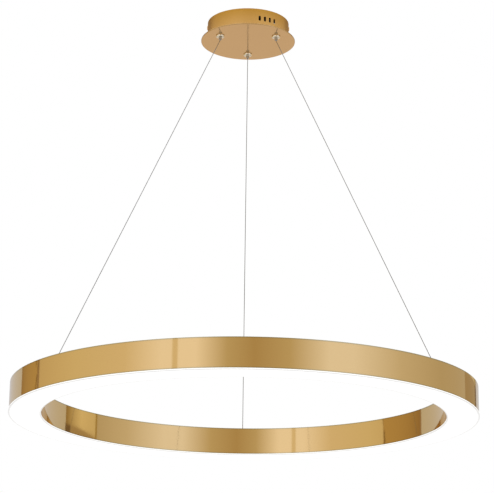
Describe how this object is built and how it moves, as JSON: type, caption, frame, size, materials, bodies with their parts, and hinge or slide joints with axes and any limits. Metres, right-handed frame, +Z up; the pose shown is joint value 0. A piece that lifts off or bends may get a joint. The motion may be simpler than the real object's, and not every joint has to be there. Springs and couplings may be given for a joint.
{
  "type": "led ring chandelier",
  "caption": "Ceiling-hung ring light: round canopy, steel suspension wires on push-button grippers, and a polished channel ring with a glowing underside.",
  "frame": {"origin": "middle of the ceiling face, at the centre of the bracket's two slots", "axes": "+Z up into the ceiling, +X along the ceiling bracket; the ring hangs towards -Z"},
  "size_m": [0.802, 0.802, 0.7303],
  "materials": {
    "polished_gold": "polished",
    "satin_gold": "satin",
    "chrome": "polished",
    "zinc_steel": "satin",
    "wire_steel": "satin",
    "opal_diffuser": "satin, glowing",
    "board_aluminium": "satin",
    "led_phosphor": "gloss",
    "driver_plastic": "matte",
    "circuit_board": "satin",
    "ferrite": "matte",
    "capacitor_sleeve": "gloss",
    "foam": "matte",
    "terminal_plastic": "matte",
    "clamp_brass": "satin",
    "nylon": "satin",
    "brown_insulation": "satin",
    "blue_insulation": "satin",
    "green_yellow_insulation": "satin",
    "red_insulation": "satin",
    "black_insulation": "satin",
    "sleeve_plastic": "satin"
  },
  "bodies": {
    "canopy": {"ceiling_bracket": "zinc_steel", "canopy_drum": "satin_gold", "canopy_plate": "satin_gold", "plate_studs": "zinc_steel", "side_screws": "satin_gold", "stud_nuts": "zinc_steel", "terminal_block": "terminal_plastic", "terminal_clamps": "clamp_brass", "terminal_screws": "zinc_steel", "earth_tag": "zinc_steel", "earth_nut": "zinc_steel", "earth_lead": "green_yellow_insulation", "live_lead": "brown_insulation", "neutral_lead": "blue_insulation", "driver_pad": "foam", "driver_base": "driver_plastic", "driver_lid": "driver_plastic", "driver_board": "circuit_board", "driver_transformer": "ferrite", "driver_capacitors": "capacitor_sleeve", "positive_lead": "red_insulation", "negative_lead": "black_insulation", "tail_sleeves": "sleeve_plastic", "wire_tail_1": "wire_steel", "wire_tail_2": "wire_steel", "wire_tail_3": "wire_steel", "gripper_body_1": "chrome", "gripper_body_2": "chrome", "gripper_body_3": "chrome", "gripper_caps": "chrome", "gripper_nuts": "zinc_steel", "gripper_bushes": "nylon", "gripper_washers": "nylon", "suspension_wire_1": "wire_steel", "suspension_wire_2": "wire_steel", "suspension_wire_3": "wire_steel"},
    "plunger_1": {"gripper_plunger_1": "chrome", "grip_balls_1": "zinc_steel", "gripper_spring_1": "zinc_steel"},
    "plunger_2": {"gripper_plunger_2": "chrome", "grip_balls_2": "zinc_steel", "gripper_spring_2": "zinc_steel"},
    "plunger_3": {"gripper_plunger_3": "chrome", "grip_balls_3": "zinc_steel", "gripper_spring_3": "zinc_steel"},
    "ring": {"outer_band": "polished_gold", "inner_band": "polished_gold", "band_splices": "zinc_steel", "top_plate": "satin_gold", "plate_screws": "zinc_steel", "diffuser": "opal_diffuser", "led_board": "board_aluminium", "leds": "led_phosphor", "wire_anchors": "chrome", "anchor_bushes": "nylon", "anchor_washers": "nylon", "anchor_nuts": "zinc_steel", "wire_ends": "chrome", "solder_tags": "clamp_brass", "ring_leads": "red_insulation"}
  },
  "joints": [
    {"name": "ring_height", "type": "slide", "parent": "canopy", "child": "ring", "axis": [0, 0, 1], "range_m": [0, 0.35], "deforming": ["suspension_wire_1", "suspension_wire_2", "suspension_wire_3"]},
    {"name": "plunger_1_push", "type": "slide", "parent": "canopy", "child": "plunger_1", "axis": [0, 0, 1], "range_m": [0, 0.0025], "stiffness_N_per_m": 150, "springref_m": -0.004, "deforming": ["gripper_spring_1"]},
    {"name": "plunger_2_push", "type": "slide", "parent": "canopy", "child": "plunger_2", "axis": [0, 0, 1], "range_m": [0, 0.0025], "stiffness_N_per_m": 150, "springref_m": -0.004, "deforming": ["gripper_spring_2"]},
    {"name": "plunger_3_push", "type": "slide", "parent": "canopy", "child": "plunger_3", "axis": [0, 0, 1], "range_m": [0, 0.0025], "stiffness_N_per_m": 150, "springref_m": -0.004, "deforming": ["gripper_spring_3"]}
  ]
}
